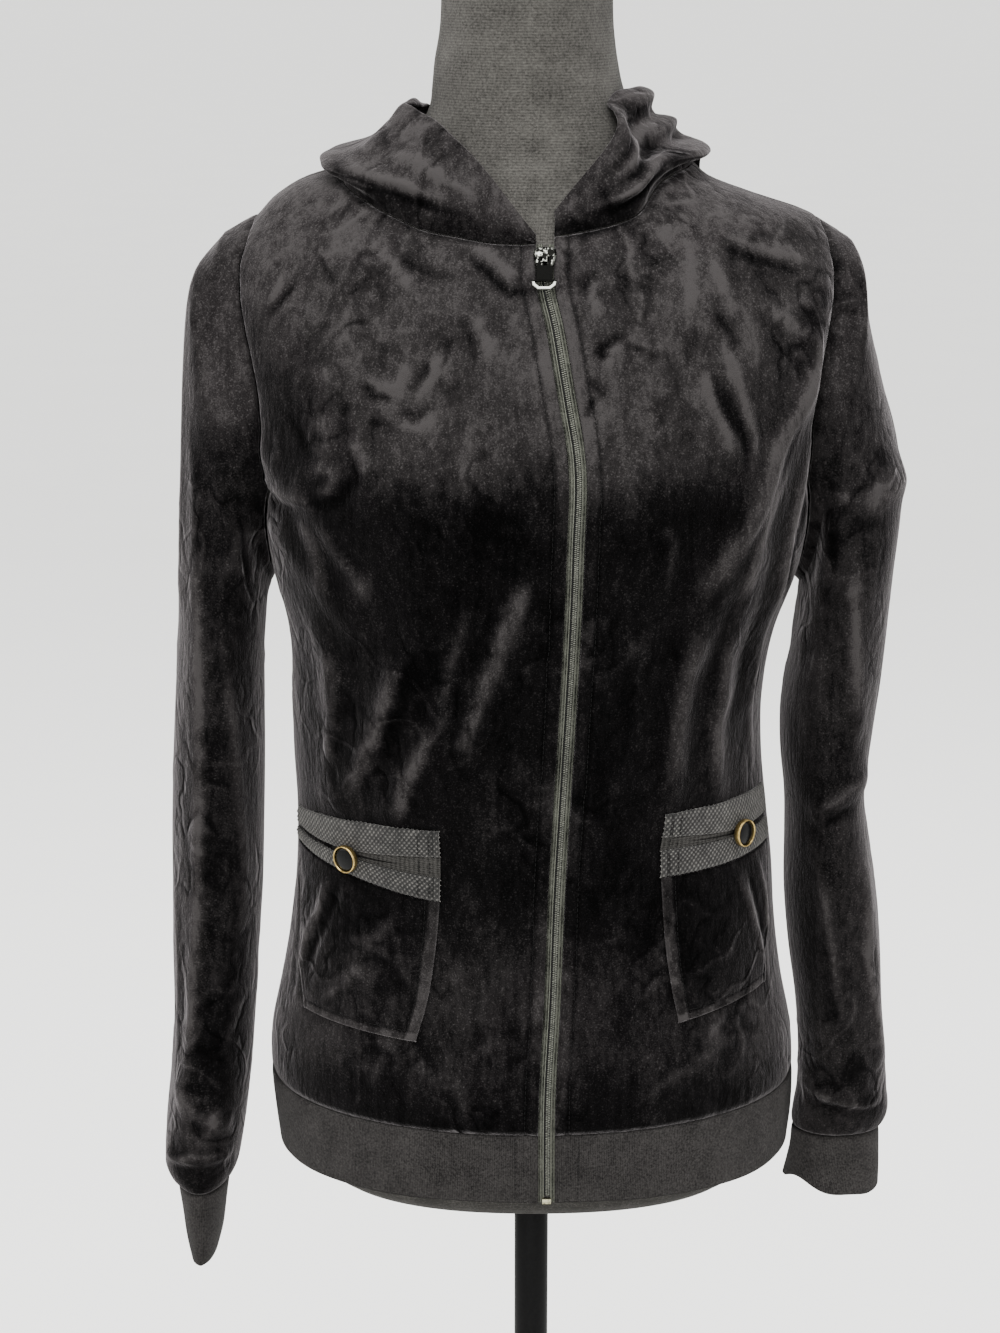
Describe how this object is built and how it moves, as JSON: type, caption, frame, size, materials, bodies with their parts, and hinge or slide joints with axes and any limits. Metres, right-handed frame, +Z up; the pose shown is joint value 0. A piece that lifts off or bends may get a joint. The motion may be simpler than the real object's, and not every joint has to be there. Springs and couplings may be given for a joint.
{
  "type": "zip up hoodie on a limbless dress form with stand",
  "caption": "Black velour zip hoodie with hood down, patch pockets trimmed in braid and rimmed buttons, worn by a limbless jersey dress form on a pole and round base.",
  "frame": {"origin": "centre of the stand's base on the floor, under the pole", "axes": "+Z up along the pole, the garment's front faces -Y, the wearer's left side is +X"},
  "size_m": [0.47, 0.31, 1.4703],
  "materials": {
    "velour": "crushed black velour",
    "knit": "smooth black knit",
    "braid": "basket-weave braid, dark grey",
    "strip": "plain ribbed ribbon",
    "tape": "woven zip tape, grey-green",
    "coil": "black zip coil",
    "nickel": "bright nickel",
    "brass": "aged brass",
    "black": "gloss black",
    "jersey": "black jersey cover",
    "pole": "satin black",
    "base": "satin black"
  },
  "bodies": {
    "garment": {"front_left": "velour", "front_right": "velour", "back": "velour", "hem_band": "knit", "sleeve_left": "velour", "sleeve_right": "velour", "cuff_left": "knit", "cuff_right": "knit", "hood_left": "velour", "hood_right": "velour", "pocket_left": "velour", "pocket_right": "velour", "trim_lower_left": "braid", "trim_lower_right": "braid", "trim_strip_left": "strip", "trim_strip_right": "strip", "trim_upper_left": "braid", "trim_upper_right": "braid", "button_rim_left": "brass", "button_rim_right": "brass", "button_dome_left": "black", "button_dome_right": "black", "zip_tape_left": "tape", "zip_tape_right": "tape", "zip_coil": "coil", "zip_slider": "nickel", "zip_stop": "nickel", "form_torso": "jersey", "form_neck_cap": "base", "form_pole": "pole", "form_base": "base"},
    "pull": {"zip_pull": "nickel"}
  },
  "joints": [
    {"name": "pull_tab", "type": "hinge", "parent": "garment", "child": "pull", "pos_m": [0.00458, -0.0825, 1.31458], "axis": [-1, 0, 0], "range_deg": [0, 130]}
  ]
}
